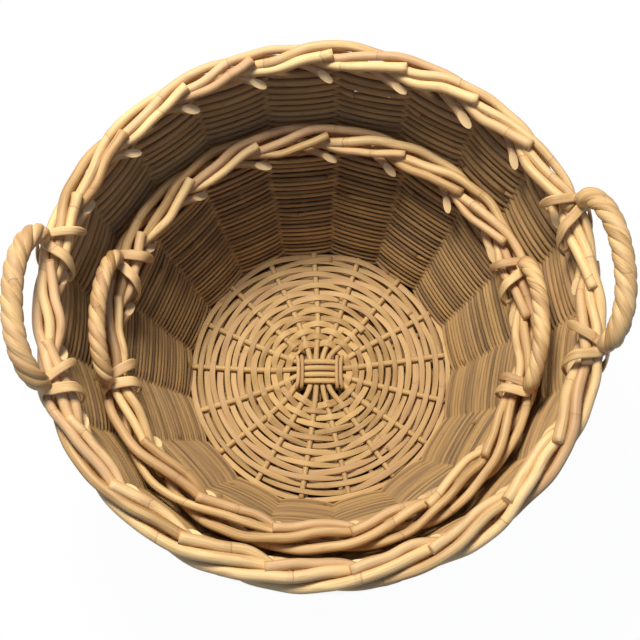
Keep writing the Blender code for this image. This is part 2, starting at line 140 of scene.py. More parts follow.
# Ties and slits of the base's cross
TIE_SQUARENESS = 0.6
TIE_SAMPLES = 40
TIE_BESIDE_SHARE = 0.8
TIE_OVER_SHARE = 0.75
TIE_START_SHARE = 0.35
TIE_SPACING_SHARE = 1.05
TIE_BOW_SHARE = 0.25
TIE_WIDTH_SHARE = 0.42
SLIT_OPENING = STICK_DIAMETER * 0.72
SLIT_END_SHARE = 0.3
SPLIT_WIDTH_SHARE = 0.98
SPLIT_SHARE = 0.4
CROSS_REACH_SHARE = 1.4
ODD_WIDTH_SHARE = 0.96
STRIP_SQUARENESS = 4.5
STRIP_OVERHANG_SHARE = 1 / 3
STRIP_OVERLAP_STEPS = 7
STRIP_OVERLAP_FALL = 6.0
STRIP_LIFT_SHARE = 1.1

# How rods differ: least and greatest share of the plain size, or number of turns
BORDER_GIRTHS = (0.88, 1.08)
PARTNER_GIRTHS = (0.84, 1.06)
WEAVER_GIRTHS = (0.93, 1.08)
STICK_GIRTHS = (0.92, 1.0)
STRIP_WIDTHS = (0.84, 1.1)
WRAP_WIDTHS = (0.72, 1.1)
WRAP_OFFSETS = (1.2, 2.0)
WRAP_SLEWS = (0.9, 1.8)
WRAP_SLEW_SHIFT = 0.4
WEAVER_TURNS = (0.55, 1.5)
STRIP_TURNS = (0.5, 1.6)
# How each rod thins: share of its plain thickness at its start and end, and how it gets there
BORDER_TAPER = (1.03, 0.83, 2.0)
PARTNER_TAPER = (0.72, 1.0, 0.5)
WEAVER_TAPER = (1.04, 0.92, 1.0)
STRIP_TAPER = (1.0, 0.88, 1.0)
# How rods stray: sideways sways as reach and length, and the border's bends in their own shares
BORDER_SWAY = (0.0009, 0.11)
PARTNER_SWAY = (0.0008, 0.09)
BEND_SHIFTS = (0.06, 0.13, 0.1)
WEAVER_SHIFT = 0.0003
WEAVER_RIPPLE = (0.0004, 3.3)
STRIP_RIPPLES = ((0.0007, 5.3), (0.0005, 2.1))
STRIP_SHIFT_SHARE = 0.45
SWAY_SHARES = (1.0, 0.45)
GRAIN_STARTS = (0.0, 50.0)

# Willow's grain: breadth and length of the blots, their detail, and where their noise starts
STREAKS = (0.0016, 0.07, 3.0, 0.0)
FIBRES = (0.0005, 0.02, 2.0, 7.0)
PATCHES = (0.012, 0.06, 2.0, 19.0)
BRUISES = (0.006, 0.035, 3.0, 31.0)
NOISE_MIDDLE = 0.5
NOISE_ROUGHNESS = 0.55
STREAK_CONTRAST = 1.5
PATCH_CONTRAST = 1.1
MEAN_PALENESS = 0.72
BRUISE_START = 0.56
BRUISE_CONTRAST = 6.0
FIBRE_START = 0.42
FIBRE_CONTRAST = 2.4
FIBRE_SHARE = 0.5
WARMTH_SPREAD = 7.31
# Rings and the collars below them: width, and share of the stain's colour
RING = (0.0011, 0.4)
COLLAR = (0.006, 0.16)
RING_SHIFT_SHARE = 0.08
FEWEST_RINGS_SHARE = 0.8
MORE_RINGS_SHARE = 0.4
# Painted shade in the crevices where rods meet: where it starts across a rod's section, and how
# sharply it darkens
CREVICE_SHADE_START = 0.45
CREVICE_SHADE_CONTRAST = 2.0
PITH_SHARE = 0.85
GRAIN_DEPTH = 0.0006
STREAK_HEIGHT = 0.6
FIBRE_HEIGHT = 0.4
RING_HEIGHT = 0.8
ROUGHNESS_SPREAD = 0.3

# Stage
WHITE = (1.0, 1.0, 1.0, 1.0)
SKY_COLOUR = (0.42, 0.62, 1.0, 1.0)
LAMP_COLOUR = (1.0, 0.97, 0.91)
FLOOR_COLOUR = (0.9, 0.9, 0.9, 1.0)
# Painted shadow: dark floor colour under the baskets
PAINTED_SHADOW_COLOUR = (0.08, 0.06, 0.04, 1.0)
FLOOR_ROUGHNESS = 0.9
SHADE_EDGE = 0.05
GLOW_SHARE = 0.97
NEAREST_SEEN = 0.01

UP = (0.0, 0.0, 1.0)

# Fineness of the meshes
ROD_SIDES = 12
WEAVER_SIDES = 8
STRIP_SIDES = 12
ROD_STEP = 0.005
ROPE_STEP = 0.003
CURVE_SAMPLES = 16
WEAVER_STEPS_PER_STAKE = 8
STRIP_STEPS_PER_STAKE = 10

# Random draws: each part of a basket has its own
SEED = 11
SIDE_DRAWS = 1
STICK_DRAWS = 2
STRIP_DRAWS = 3
HANDLE_DRAWS = 4
BORDER_DRAWS = 100


def length_prop(name, description, default):
    return bpy.props.FloatProperty(name=name, description=description, default=default, min=0.0,
                                   subtype='DISTANCE', unit='LENGTH', precision=4)


def angle_prop(name, description, default):
    return bpy.props.FloatProperty(name=name, description=description, default=default,
                                   subtype='ANGLE', unit='ROTATION')


def share_prop(name, description, default):
    return bpy.props.FloatProperty(name=name, description=description, default=default, min=0.0,
                                   subtype='FACTOR')


def place_prop(name, description, default):
    return bpy.props.FloatVectorProperty(name=name, description=description, default=default,
                                         subtype='TRANSLATION')


def colour_prop(name, description, default):
    return bpy.props.FloatVectorProperty(name=name, description=description, default=default,
                                         size=3, min=0.0, max=1.0, subtype='COLOR')


# Each size of a basket: its name, kind, label and note, then the outer and the inner basket's value
BASKET_SIZES = (
    ('border_rod_diameter', length_prop, 'Border rod', 'Thickness in the border', 0.0112, 0.0106),
    ('border_spread', share_prop, 'Border spread', 'Reach outwards, of the packed border', 0.77, 1.04),
    ('weaver_diameter', length_prop, 'Weaver', 'Thickness of the side\'s rods', 0.0062, 0.0045),
    ('row_height', length_prop, 'Row', 'Height of one row of weaving', 0.0049, 0.00365),
    ('wale_diameter', length_prop, 'Wale', 'Thickness of rods under the border', 0.0081, 0.0062),
    ('wale_row_height', length_prop, 'Wale row', 'Height of a row of thick rods', 0.0064, 0.0058),
    ('wale_depth', length_prop, 'Wale depth', 'Height of the band of thick rods', 0.04, 0.022),
    ('handle_turn', angle_prop, 'Handle turn', 'Handles\' way round', radians(4.0), radians(-1.0)),
    ('handle_reach', share_prop, 'Handle reach', 'Half a handle in stake spaces', 0.92, 0.82),
    ('handle_height', length_prop, 'Handle height', 'Rise above the border', 0.039, 0.034),
    ('handle_lean', length_prop, 'Handle lean', 'How far a handle leans out', 0.013, 0.001),
    ('rope_diameter', length_prop, 'Rope', 'Thickness of a twisted handle', 0.021, 0.018),
)


def basket_sizes(group_name, column):
    """Property group that holds one basket's sizes."""
    props = {name: kind(label, note, values[column])
             for name, kind, label, note, *values in BASKET_SIZES}
    return type(group_name, (bpy.types.PropertyGroup,), {'__annotations__': props})


OuterBasketSizes = basket_sizes('OuterBasketSizes', 0)
InnerBasketSizes = basket_sizes('InnerBasketSizes', 1)


class BaseSizes(bpy.types.PropertyGroup):
    strip_width: length_prop('Strip', 'Width of the flat strips of the base', 0.0078)
    strip_thickness: length_prop('Strip thickness', 'Thickness of the flat strips', 0.0015)
    strip_spacing: length_prop('Strip spacing', 'From one turn of strip to the next', 0.0080)
    first_turn: length_prop('First turn', 'Radius at which the strips start', 0.034)
    tie_diameter: length_prop('Tie', 'Thickness of the ties beside the cross', 0.0046)


class WillowColours(bpy.types.PropertyGroup):
    straw: colour_prop('Straw', 'Pale rods of the border', (0.83, 0.56, 0.245))
    honey: colour_prop('Honey', 'Darker rods of the border', (0.40, 0.215, 0.07))
    khaki: colour_prop('Khaki', 'Pale weavers of the side', (0.56, 0.335, 0.112))
    umber: colour_prop('Umber', 'Dark weavers of the side', (0.17, 0.095, 0.036))
    wheat: colour_prop('Wheat', 'Pale strips of the base', (0.64, 0.405, 0.155))
    tan: colour_prop('Tan', 'Dark strips of the base', (0.38, 0.22, 0.08))
    rose: colour_prop('Rose', 'Pinkish rods among the others', (0.58, 0.33, 0.17))
    stain: colour_prop('Stain', 'Reddish bruises along the rods', (0.36, 0.17, 0.075))
    pith: colour_prop('Pith', 'Fresh wood at cut ends', (0.86, 0.60, 0.29))


class StageSettings(bpy.types.PropertyGroup):
    lens: bpy.props.FloatProperty(name='Lens', description='Focal length on a 36 mm sensor',
                                  default=62.5, unit='CAMERA')
    camera_place: place_prop('Camera', 'Place of the camera', (0.0006, -0.3412, 1.3157))
    camera_aim: place_prop('Aim', 'Point the camera looks at', (0.0006, -0.0240, 0.3095))
    lamp_place: place_prop('Lamp', 'Place of the soft lamp', (-0.36, 0.75, 1.94))
    lamp_width: length_prop('Lamp width', 'Width of the soft lamp', 0.6)
    lamp_power: bpy.props.FloatProperty(name='Lamp power', description='Power of the soft lamp',
                                        default=52.0, unit='POWER')
    sky_strength: share_prop('Sky', 'Strength of the even light from all round', 0.36)
    shade_middle: place_prop('Shade', 'Middle of the shaded floor', (0.0, 0.07, 0.0))
    shade_radius: length_prop('Shade radius', 'Radius of the floor shaded by the baskets', 0.28)
    # Painted shadow: radius of the dark floor colour under the baskets
    painted_shadow_radius: length_prop('Covered radius', 'Radius of the dark floor under the baskets', 0.2)
    floor_width: length_prop('Floor width', 'Width of the pale floor', 12.0)


# Sizes of the baskets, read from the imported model
def node_corners(node):
    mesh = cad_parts[node].data
    corners = np.zeros(3 * len(mesh.vertices), np.float32)
    mesh.vertices.foreach_get('co', corners)
    return corners.reshape(-1, 3).astype(float)


class Basket:
    """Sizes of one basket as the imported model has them, and where its rods run."""

    def __init__(self, name):
        self.name = name
        self.body = f'{name}_basket'
        self.sizes = getattr(bpy.context.scene, f'{name}_basket_sizes')
        side = node_corners(f'{name}_side_weave')
        radii = np.hypot(side[:, 0], side[:, 1])
        self.rest_z = side[:, 2].min()
        self.side_top = side[:, 2].max()
        low = side[:, 2] < self.rest_z + CLEARANCE
        high = side[:, 2] > self.side_top - CLEARANCE
        self.foot_radius = radii[low].max() - SIDE_HALF_AT_STAKE
        self.leg_top_radius = radii[high].max() - SIDE_HALF_AT_STAKE
        self.flare = (self.leg_top_radius - self.foot_radius) / (self.side_top - self.rest_z)
        leg_top = BORDER_ROD_SHARES[0]
        self.border_radius = self.leg_top_radius - leg_top[1] * ROD_DIAMETER
        self.border_z = self.side_top - leg_top[2] * ROD_DIAMETER
        self.stakes = sum(node.startswith(f'{name}_stake_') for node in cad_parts)
        self.across = (self.stakes - 1) // 4
        self.pitch = tau / self.stakes
        stake = node_corners(f'{name}_stake_01')
        foot = stake[stake[:, 2] < stake[:, 2].min() + CLEARANCE].mean(axis=0)
        self.first_stake = atan2(foot[1], foot[0])
        through = node_corners(f'{name}_through_stick_1')
        self.stick_z = (through[:, 2].min() + through[:, 2].max()) / 2
        odd = node_corners(f'{name}_odd_stick')
        outermost = odd[np.argmax(np.hypot(odd[:, 0], odd[:, 1]))]
        self.odd_angle = atan2(outermost[1], outermost[0])

    def leg_radius(self, z):
        return self.foot_radius + self.flare * (z - self.rest_z)

    def stake_angle(self, index):
        return self.first_stake + index * self.pitch

    def cross_spacing(self):
        return STICK_DIAMETER + 4 * CLEARANCE

    def cross_half(self):
        return self.across * self.cross_spacing() / 2 + SPLIT_WALL

    def lane(self, index):
        return (index - (self.across - 1) / 2) * self.cross_spacing()

    def base_radius(self):
        return self.leg_radius(self.stick_z) - SIDE_HALF_AT_STAKE

    def stick_angles(self):
        """Directions of the right, back, left and front fans of sticks, and of the odd stick."""
        beside = (ROD_DIAMETER + STICK_DIAMETER) / 2 / self.foot_radius
        first = -((self.across + 1) // 2)
        angles = [self.stake_angle(first + index) - beside for index in range(self.stakes)]
        away = [abs((angle - self.odd_angle + pi) % tau - pi) for angle in angles]
        odd = angles.pop(int(np.argmin(away)))
        fans = [angles[fan * self.across:(fan + 1) * self.across] for fan in range(4)]
        return *fans, odd

    def outer_way(self, angle):
        """A base stick's last two places: where it starts to fan out, and its end."""
        return [polar(FAN_SHARE * self.cross_half(), angle), polar(self.base_radius(), angle)]

    def half_sticks(self):
        """Every stick's way from the cross to the base's edge, as flat points."""
        *fans, odd = self.stick_angles()
        half = self.cross_half()
        ways = [[polar(ODD_START_SHARE * half, odd)] + self.outer_way(odd)]
        for fan, angles in enumerate(fans):
            turn = fan * pi / 2
            for index, angle in enumerate(angles):
                lane = self.lane(index)
                start = (half * cos(turn) - lane * sin(turn), half * sin(turn) + lane * cos(turn))
                ways.append([start] + self.outer_way(angle))
        return ways


# Rods as meshes
def polar(radius, angle, *height):
    """Place by its distance and direction from the baskets' axis, and perhaps its height."""
    return (radius * np.cos(angle), radius * np.sin(angle), *height)


def unit(vectors):
    return vectors / np.linalg.norm(vectors, axis=-1, keepdims=True)


def powered(values, power):
    """Values raised to a power with their signs kept: rounder or squarer waves."""
    return np.sign(values) * np.abs(values) ** power


def tapered(count, start, end, power):
    """Shares of a rod's thickness at its points."""
    return start + (end - start) * np.linspace(0.0, 1.0, count) ** power


def rising(least, share):
    """A share that starts at its least and rises to one."""
    return least + (1.0 - least) * share


def way_along(path):
    """Distance along a path at each of its points."""
    return np.concatenate([[0.0], np.cumsum(np.linalg.norm(np.diff(path, axis=0), axis=1))])


def at_marks(marks, way, vectors):
    """Vectors known at distances along a way, read off at other distances."""
    return np.stack([np.interp(marks, way, vectors[:, axis]) for axis in range(3)], axis=1)


def smooth_path(points, step):
    """Even steps along a smooth curve through the points."""
    points = np.asarray(points, float)
    times = way_along(points)
    slopes = np.gradient(points, times, axis=0)
    fine = []
    for index in range(len(points) - 1):
        span = times[index + 1] - times[index]
        t = np.linspace(0.0, 1.0, CURVE_SAMPLES, endpoint=False)[:, None]
        fine.append((2 * t**3 - 3 * t**2 + 1) * points[index]
                    + (t**3 - 2 * t**2 + t) * span * slopes[index]
                    + (3 * t**2 - 2 * t**3) * points[index + 1]
                    + (t**3 - t**2) * span * slopes[index + 1])
    fine = np.concatenate(fine + [points[-1:]])
    way = way_along(fine)
    marks = np.linspace(0.0, way[-1], max(3, round(way[-1] / step) + 1))
    return at_marks(marks, way, fine)


def from_axis(path):
    """Level directions away from the baskets' axis."""
    return unit(path * (1.0, 1.0, 0.0))


class Bundle:
    """Rods gathered into one mesh, with the attributes that their finish reads."""

    def __init__(self, name, draws):
        self.name = name
        self.draws = draws
        self.corners = []
        self.faces = []
        self.grain = []
        self.tone = []
        self.edge = []
        self.cut = []
        self.count = 0

    def add_rod(self, path, facing, half_width, half_height=None, sides=ROD_SIDES, tone=None,
                squareness=2.0, slant=None, closed=False):
        """One rod along a path; facing gives the direction of its half height at each point."""
        path = np.asarray(path, float)
        half_width = np.broadcast_to(half_width, (len(path),))
        half_height = half_width if half_height is None else half_height
        half_height = np.broadcast_to(half_height, (len(path),))
        facing = np.broadcast_to(facing, path.shape)
        if slant is not None:
            from_tip = np.linalg.norm(path - path[-1], axis=1)
            kept = from_tip > half_width[-1] * np.linalg.norm(slant)
            kept[-1] = True
            path, facing = path[kept], facing[kept]
            half_width, half_height = half_width[kept], half_height[kept]
        count = len(path)
        steps = np.gradient(path, axis=0)
        if closed:
            steps = np.roll(path, -1, axis=0) - np.roll(path, 1, axis=0)
        along = unit(steps)
        up = unit(facing - along * (facing * along).sum(axis=1, keepdims=True))
        across = np.cross(along, up)
        turn = tau * (np.arange(sides) + 0.5) / sides
        level = powered(np.cos(turn), 2 / squareness)
        rise = powered(np.sin(turn), 2 / squareness)
        rings = (across[:, None, :] * (level[None, :, None] * half_width[:, None, None])
                 + up[:, None, :] * (rise[None, :, None] * half_height[:, None, None]))
        if slant is not None:
            rings[-1] += along[-1] * (rings[-1] @ np.asarray(slant))[:, None]
        corners = path[:, None, :] + rings
        start = self.draws.uniform(*GRAIN_STARTS)
        tone = self.draws.uniform() if tone is None else tone
        grain = np.empty((count, sides, 3))
        grain[..., 0] = level * half_width[:, None]
        grain[..., 1] = rise * half_height[:, None]
        grain[..., 2] = (way_along(path) + start)[:, None]
        index = np.arange(count * sides).reshape(count, sides) + self.count
        after = np.roll(index, -1, axis=1)
        if closed:
            quads = np.stack([index, after, np.roll(after, -1, axis=0),
                              np.roll(index, -1, axis=0)], axis=-1)
        else:
            quads = np.stack([index[:-1], after[:-1], after[1:], index[1:]], axis=-1)
        quads = quads.reshape(-1, 4).tolist()
        self.faces += quads
        self.cut += [0.0] * len(quads)
        if not closed:
            self.faces += [index[0][::-1].tolist(), index[-1].tolist()]
            self.cut += [1.0, 1.0]
        self.corners.append(corners.reshape(-1, 3))
        self.grain.append(grain.reshape(-1, 3))
        self.tone.append(np.full(count * sides, tone))
        # Nearness to the top or bottom of the rod's section: the mask of the painted crevice shade
        self.edge.append(np.tile(np.abs(rise), count))
        self.count += count * sides

    def make(self, finish):
        """The gathered rods as one object in the scene."""
        mesh = bpy.data.meshes.new(self.name)
        mesh.from_pydata(np.concatenate(self.corners).tolist(), [], self.faces)
        grain = mesh.attributes.new('grain', 'FLOAT_VECTOR', 'POINT')
        grain.data.foreach_set('vector', np.concatenate(self.grain).ravel())
        for name, domain, values in (('tone', 'POINT', np.concatenate(self.tone)),
                                     ('edge', 'POINT', np.concatenate(self.edge)),
                                     ('cut', 'FACE', self.cut)):
            mesh.attributes.new(name, 'FLOAT', domain).data.foreach_set('value', values)
        mesh.polygons.foreach_set('use_smooth', [value == 0.0 for value in self.cut])
        mesh.materials.append(finish)
        mesh.update()
        made = bpy.data.objects.new(self.name, mesh)
        bpy.context.scene.collection.objects.link(made)
        return made


def place(made, basket, slot, node=None):
    """Let a piece ride with its basket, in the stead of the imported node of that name."""
    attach(made, basket.body)
    if node:
        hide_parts(f'{basket.name}_{node}')


def wander(path, draws, amount, wave):
    """A path with slow sideways sways, as no grown rod is straight."""
    way = way_along(path)
    sway = np.zeros_like(path)
    for axis in range(3):
        for share in SWAY_SHARES:
            phase = draws.uniform(0.0, tau)
            sway[:, axis] += amount * share * np.sin(tau * way / (wave * share) + phase)
    return path + sway


# Shader nodes written as expressions
class Value:
    """An output of a node; arithmetic on it adds Math nodes."""

    def __init__(self, finish, socket):
        self.finish = finish
        self.socket = socket

    def math(self, operation, *values, clamp=False):
        return self.finish.add('ShaderNodeMath', {'operation': operation, 'use_clamp': clamp},
                               dict(enumerate(values)))

    def __add__(self, other):
        return self.math('ADD', self, other)

    def __radd__(self, other):
        return self.math('ADD', other, self)

    def __sub__(self, other):
        return self.math('SUBTRACT', self, other)

    def __rsub__(self, other):
        return self.math('SUBTRACT', other, self)

    def __mul__(self, other):
        return self.math('MULTIPLY', self, other)

    def __rmul__(self, other):
        return self.math('MULTIPLY', other, self)

    def __truediv__(self, other):
        return self.math('DIVIDE', self, other)

    def __lt__(self, other):
        return self.math('LESS_THAN', self, other)

    def fraction(self):
        return self.math('FRACT', self)

    def clamped(self):
        return self.math('ADD', self, 0.0, clamp=True)


class Finish:
    """Node tree of a material or of the world."""

    def __init__(self, owner):
        owner.use_nodes = True
        self.owner = owner
        self.tree = owner.node_tree

    def feed(self, socket, value):
        if isinstance(value, Value):
            self.tree.links.new(value.socket, socket)
        else:
            socket.default_value = value

    def add(self, kind, settings=None, inputs=None, output=0):
        """A new node: its settings first, then the values or links of its sockets."""
        node = self.tree.nodes.new(kind)
        for name, setting in (settings or {}).items():
            setattr(node, name, setting)
        for name, value in (inputs or {}).items():
            self.feed(node.inputs[name], value)
        return Value(self, node.outputs[output])

    def attribute(self, name, output):
        return self.add('ShaderNodeAttribute', {'attribute_name': name}, output=output)

    def stretched_noise(self, grain, across, along, detail, offset):
        """Noise drawn out along the rods; across and along are the sizes of its blots."""
        scaled = self.add('ShaderNodeVectorMath', {'operation': 'MULTIPLY'},
                          {0: grain, 1: (1 / across, 1 / across, 1 / along)})
        moved = self.add('ShaderNodeVectorMath', {'operation': 'ADD'},
                         {0: scaled, 1: (offset, offset, offset)})
        return self.add('ShaderNodeTexNoise', {'noise_dimensions': '3D'},
                        {'Vector': moved, 'Scale': 1.0, 'Detail': detail,
                         'Roughness': NOISE_ROUGHNESS})

    def mixed(self, factor, first, second, blend='MIX'):
        mix = self.tree.nodes.new('ShaderNodeMix')
        mix.data_type = 'RGBA'
        mix.blend_type = blend
        colours = [socket for socket in mix.inputs if socket.type == 'RGBA']
        self.feed(mix.inputs[0], factor)
        for socket, value in zip(colours, (first, second)):
            self.feed(socket, value)
        made = [socket for socket in mix.outputs if socket.type == 'RGBA']
        return Value(self, made[0])


class Look(NamedTuple):
    """What sets one kind of willow apart; tone_share is how far its rods differ in paleness."""
    pale: str
    deep: str
    roughness: float
    tone_share: float
    ring_spacing: float
    stain_share: float
    rose_share: float
    bump: float
    # Share of painted shade that darkens the crevices where rods meet
    crevice_shade_share: float = 0.0
    gloss: float = 0.36


LOOKS = {
    'border_willow': Look('straw', 'honey', roughness=0.54, tone_share=1.0, ring_spacing=0.13,
                          stain_share=0.5, rose_share=0.65, bump=0.85, crevice_shade_share=0.22),
    'rope_willow': Look('straw', 'honey', roughness=0.54, tone_share=0.75, ring_spacing=0.19,
                        stain_share=0.5, rose_share=0.65, bump=0.8, crevice_shade_share=0.2),
    'weaver_willow': Look('khaki', 'umber', roughness=0.62, tone_share=1.1, ring_spacing=0.23,
                          stain_share=0.25, rose_share=0.25, bump=0.6, crevice_shade_share=0.36,
                          gloss=0.44),
    'strip_willow': Look('wheat', 'tan', roughness=0.6, tone_share=0.85, ring_spacing=0.31,
                         stain_share=0.25, rose_share=0.35, bump=0.5),
    'stick_willow': Look('wheat', 'tan', roughness=0.6, tone_share=0.4, ring_spacing=0.27,
                         stain_share=0.15, rose_share=0.1, bump=0.5),
}


def willow(name):
    """Peeled willow: streaks along each rod, bruises, dark node rings, pale cut ends, painted crevice
    shade.
    """
    look = LOOKS[name]
    colours = {key: (*getattr(bpy.context.scene.willow_colours, key), 1.0)
               for key in (look.pale, look.deep, 'rose', 'stain', 'pith')}
    finish = Finish(bpy.data.materials.new(name))
    grain = finish.attribute('grain', 'Vector')
    tone = finish.attribute('tone', 'Fac')
    streaks = finish.stretched_noise(grain, *STREAKS) - NOISE_MIDDLE
    fibres = finish.stretched_noise(grain, *FIBRES)
    patches = finish.stretched_noise(grain, *PATCHES) - NOISE_MIDDLE
    bruises = finish.stretched_noise(grain, *BRUISES)
    paleness = (tone * look.tone_share + streaks * STREAK_CONTRAST + patches * PATCH_CONTRAST
                + (MEAN_PALENESS - look.tone_share / 2))
    colour = finish.mixed(paleness.clamped(), colours[look.deep], colours[look.pale])
    warmth = (tone * WARMTH_SPREAD).fraction()
    colour = finish.mixed(warmth * warmth * look.rose_share, colour, colours['rose'])
    bruised = ((bruises - BRUISE_START) * BRUISE_CONTRAST).clamped() * look.stain_share
    colour = finish.mixed(bruised, colour, colours['stain'])
    along = finish.add('ShaderNodeSeparateXYZ', {}, {0: grain}, output=2)
    spaces = along / look.ring_spacing * (FEWEST_RINGS_SHARE + MORE_RINGS_SHARE * warmth)
    place_in_gap = (spaces + patches * RING_SHIFT_SHARE).fraction()
    ring, collar = ((place_in_gap < width / look.ring_spacing) * share
                    for width, share in (RING, COLLAR))
    colour = finish.mixed((ring + collar).clamped(), colour, colours['stain'])
    between_fibres = ((FIBRE_START - fibres) * FIBRE_CONTRAST).clamped() * FIBRE_SHARE
    colour = finish.mixed(between_fibres, colour, colours[look.deep], 'MULTIPLY')
    # Painted shade: darker towards the top and bottom of each rod's section, where it meets its
    # neighbours
    edge = finish.attribute('edge', 'Fac')
    painted_crevice_shade = ((edge - CREVICE_SHADE_START) * CREVICE_SHADE_CONTRAST).clamped() * look.crevice_shade_share
    colour = finish.mixed(painted_crevice_shade, colour, colours[look.deep], 'MULTIPLY')
    colour = finish.mixed(finish.attribute('cut', 'Fac') * PITH_SHARE, colour, colours['pith'])
    shader = finish.tree.nodes['Principled BSDF']
    finish.feed(shader.inputs['Base Color'], colour)
    finish.feed(shader.inputs['Roughness'], look.roughness + streaks * ROUGHNESS_SPREAD)
    height = streaks * STREAK_HEIGHT + fibres * FIBRE_HEIGHT + ring * RING_HEIGHT
    raised = finish.add('ShaderNodeBump', {}, {'Height': height, 'Strength': look.bump,
                                               'Distance': GRAIN_DEPTH})
    finish.feed(shader.inputs['Normal'], raised)
    shader.inputs['Specular IOR Level'].default_value = look.gloss
    return finish.owner


def material(name):
    """One of the willow finishes, made when it is first asked for."""
    return bpy.data.materials.get(name) or willow(name)


# Stakes and border
def border_places(basket, shares, angle):
    """Points of a border rod whose stake stands at an angle; it runs clockwise from above."""
    points = []
    for turns, outward, upward in shares:
        heading = angle - turns * basket.pitch
        if turns > BORDER_ROD_SHARES[-1][0] - TIP_REACH_SHARE:
            outward -= TIP_TRIM_SHARE * max(sin(heading), 0.0)
        spread = basket.sizes.border_spread if outward > 0 else 1.0
        radius = basket.border_radius + outward * spread * ROD_DIAMETER
        points.append(polar(radius, heading, basket.border_z + upward * ROD_DIAMETER))
    return points


def drawn_in(basket, path):
    """A rod's path, drawn in from the outside where a handle stands over the border."""
    radius = np.hypot(path[:, 0], path[:, 1])
    angle = np.arctan2(path[:, 1], path[:, 0])
    reach = basket.sizes.handle_reach * basket.pitch
    near = np.zeros(len(path))
    for turn in (basket.sizes.handle_turn, basket.sizes.handle_turn + pi):
        away = np.abs((angle - turn + pi) % tau - pi) / reach
        near += np.interp(away, PINCH_ENDS, (1.0, 0.0))
    over = np.maximum(radius - basket.border_radius, 0.0) * (path[:, 2] > basket.side_top)
    drawn = 1.0 - HANDLE_PINCH_SHARE * near * over / radius
    return path * np.stack([drawn, drawn, np.ones(len(path))], axis=1)


def uneven(shares, draws):
    """The border's bends as one rod takes them: a little early or late, further in or out."""
    first, *others = shares
    return [first] + [tuple(share + draws.uniform(-shift, shift)
                            for share, shift in zip(bend, BEND_SHIFTS)) for bend in others]


def leg_places(basket, angle):
    """Points of a stake in the side, up to where the border begins."""
    heights = np.linspace(basket.rest_z + STAKE_START, basket.side_top, LEG_SPANS + 1)[:-1]
    return [polar(basket.leg_radius(z), angle, z) for z in heights]


def border_rod(basket, index, draws):
    """A stake from its foot to its tip in the border, and the partner rod beside it."""
    angle = basket.stake_angle(index)
    pressed = basket.sizes.border_rod_diameter / 2
    bundle = Bundle(f'{basket.name}_border_rod_{index + 1:02d}', draws)
    places = border_places(basket, uneven(BORDER_ROD_SHARES, draws), angle)
    path = smooth_path(leg_places(basket, angle) + places, ROD_STEP)
    path = wander(drawn_in(basket, path), draws, *BORDER_SWAY)
    thickness = pressed * draws.uniform(*BORDER_GIRTHS) * tapered(len(path), *BORDER_TAPER)
    bends = (basket.side_top - 2 * ROD_DIAMETER, basket.side_top)
    leg_share = np.interp(path[:, 2], bends, (1.0, 0.0))
    leg_share *= np.linspace(0.0, 1.0, len(path)) < TIP_START_SHARE
    thickness = LEG_DIAMETER / 2 * leg_share + thickness * (1 - leg_share)
    outward, downward = TIP_DIRECTION
    slant = (from_axis(path)[-1] * outward - np.array(UP) * downward) * TIP_SLANT
    bundle.add_rod(path, from_axis(path), thickness, slant=slant)
    places = border_places(basket, uneven(PARTNER_ROD_SHARES, draws), angle)
    path = wander(drawn_in(basket, smooth_path(places, ROD_STEP)), draws, *PARTNER_SWAY)
    thickness = pressed * draws.uniform(*PARTNER_GIRTHS) * tapered(len(path), *PARTNER_TAPER)
    bundle.add_rod(path, from_axis(path), thickness)
    return bundle.make(material('border_willow'))


# Side
def row_heights(basket):
    """Height of each row of weaving, from the foot to under the border."""
    sizes = basket.sizes
    upright = cos(atan2(basket.flare, 1.0))
    heights = [basket.rest_z + sizes.weaver_diameter * FIRST_ROW_SHARE]
    while heights[-1] < basket.side_top - sizes.wale_diameter * LAST_ROW_SHARE:
        wale = heights[-1] > basket.side_top - sizes.wale_depth
        step = sizes.wale_row_height if wale else sizes.row_height
        heights.append(heights[-1] + step * upright)
    return np.array(heights)


def pieces(last, per_turn, turns, shortest, draws):
    """First and last step of each rod in a long winding, each some turns long."""
    start = 0
    while start < last:
        end = min(start + int(draws.uniform(*turns) * per_turn), last)
        if last - end < shortest:
            end = last
        yield start, end
        start = end


def side_weavers(basket, draws):
    """Rods woven round the side, each starting where the last one ends."""
    sizes = basket.sizes
    heights = row_heights(basket)
    per_turn = WEAVER_STEPS_PER_STAKE * basket.stakes
    last = (len(heights) - 1) * per_turn
    row = np.arange(last + 1) / per_turn
    z = np.interp(row, np.arange(len(heights)), heights)
    wale_foot = basket.side_top - sizes.wale_depth
    thick = np.interp(z, (wale_foot - sizes.row_height, wale_foot + sizes.row_height),
                      (sizes.weaver_diameter, sizes.wale_diameter))
    bundle = Bundle(f'{basket.name}_side_weavers', draws)
    ripple, ripples = WEAVER_RIPPLE
    for start, end in pieces(last, per_turn, WEAVER_TURNS, per_turn // 3, draws):
        part = slice(start, end + 1)
        share = np.linspace(0.0, 1.0, end + 1 - start)
        size = draws.uniform(*WEAVER_GIRTHS) * thick[part] / 2 * tapered(len(share), *WEAVER_TAPER)
        wave = powered(np.cos(basket.stakes * tau * row[part] / 2), WAVE_POWER)
        angle = basket.first_stake + tau * row[part]
        height = z[part] + draws.uniform(-WEAVER_SHIFT, WEAVER_SHIFT)
        height = height + ripple * np.sin(angle * ripples + draws.uniform(0, tau))
        near_end = np.exp(-share * WEAVER_END_FALL) + np.exp(-(1 - share) * WEAVER_END_FALL)
        reach = LEG_DIAMETER / 2 + size * WEAVER_PRESS_SHARE + WEAVER_END_LIFT * near_end
        radius = basket.leg_radius(height) + wave * reach
        spread = np.interp(np.abs(wave), (0.0, 1.0), WEAVER_SPREAD_SHARES)
        bundle.add_rod(np.stack(polar(radius, angle, height), axis=1), UP, size, size * spread,
                       sides=WEAVER_SIDES)
    return bundle.make(material('weaver_willow'))


